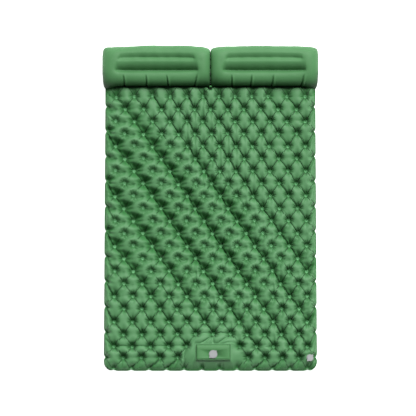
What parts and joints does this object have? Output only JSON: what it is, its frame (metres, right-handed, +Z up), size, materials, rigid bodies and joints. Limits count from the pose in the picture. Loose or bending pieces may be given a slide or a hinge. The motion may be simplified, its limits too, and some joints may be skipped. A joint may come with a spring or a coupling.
{
  "type": "inflatable sleeping pad",
  "caption": "Wide inflatable sleeping mat with dimpled quilting, two raised pillows at the head, a foam foot pump and a capped air valve at the foot.",
  "frame": {"origin": "on the floor, under the middle of the pad", "axes": "+Y towards the head end, +X to the side with the air valve, +Z up"},
  "size_m": [1.312, 2, 0.15],
  "materials": {
    "top_fabric": "satin coated weave",
    "base_fabric": "matte coated weave",
    "inner_fabric": "matte film-coated weave",
    "pump_fabric": "satin coated weave",
    "foam": "open-cell foam",
    "valve_plastic": "matte flexible plastic",
    "cap_plastic": "matte flexible plastic",
    "silicone": "soft translucent silicone"
  },
  "bodies": {
    "mattress": {"mat_top_sheet": "top_fabric", "mat_bottom_sheet": "base_fabric", "head_seam_tape": "base_fabric", "left_pillow_top_panel": "top_fabric", "left_pillow_bottom_panel": "base_fabric", "left_pillow_front_baffle": "inner_fabric", "left_pillow_rear_baffle": "inner_fabric", "left_pillow_duct": "inner_fabric", "right_pillow_top_panel": "top_fabric", "right_pillow_bottom_panel": "base_fabric", "right_pillow_front_baffle": "inner_fabric", "right_pillow_rear_baffle": "inner_fabric", "right_pillow_duct": "inner_fabric", "pillow_tie_tab": "top_fabric", "pump_pocket": "pump_fabric", "pump_foam": "foam", "pump_side_gusset": "pump_fabric", "pump_outlet_seat": "valve_plastic", "air_valve_patch": "pump_fabric", "air_valve_base": "valve_plastic"},
    "pump_head": {"pump_foot_panel": "pump_fabric", "pump_inlet_seat": "valve_plastic"},
    "pump_cap": {"pump_cap": "cap_plastic"},
    "pump_inlet_flap": {"pump_inlet_flap": "silicone"},
    "pump_outlet_flap": {"pump_outlet_flap": "silicone"},
    "air_valve_plug": {"air_valve_plug": "valve_plastic"},
    "air_valve_flap": {"air_valve_flap": "silicone"},
    "air_valve_cap": {"air_valve_cap": "cap_plastic"}
  },
  "joints": [
    {"name": "pump_stroke", "type": "slide", "parent": "mattress", "child": "pump_head", "axis": [0, 0, 1], "range_m": [-0.035, 0], "stiffness_N_per_m": 3000, "deforming": ["pump_foam", "pump_side_gusset"]},
    {"name": "pump_cap_hinge", "type": "hinge", "parent": "pump_head", "child": "pump_cap", "pos_m": [0.0358, -0.8842, 0.1191], "axis": [-0.7071, 0.7071, 0], "range_deg": [0, 150]},
    {"name": "pump_inlet_flap_lift", "type": "slide", "parent": "pump_head", "child": "pump_inlet_flap", "axis": [0, 0, -1], "range_m": [0, 0.002], "stiffness_N_per_m": 100},
    {"name": "pump_outlet_flap_lift", "type": "slide", "parent": "mattress", "child": "pump_outlet_flap", "axis": [0, 0, -1], "range_m": [0, 0.002], "stiffness_N_per_m": 100},
    {"name": "air_valve_plug_lift", "type": "slide", "parent": "mattress", "child": "air_valve_plug", "axis": [0.326, 0, 0.9454], "range_m": [0, 0.02]},
    {"name": "air_valve_flap_lift", "type": "slide", "parent": "air_valve_plug", "child": "air_valve_flap", "axis": [-0.326, 0, -0.9454], "range_m": [0, 0.002], "stiffness_N_per_m": 100},
    {"name": "air_valve_cap_hinge", "type": "hinge", "parent": "air_valve_plug", "child": "air_valve_cap", "pos_m": [0.62268, -0.90603, 0.0824], "axis": [-0.6685, 0.7071, 0.2305], "range_deg": [0, 150]}
  ]
}
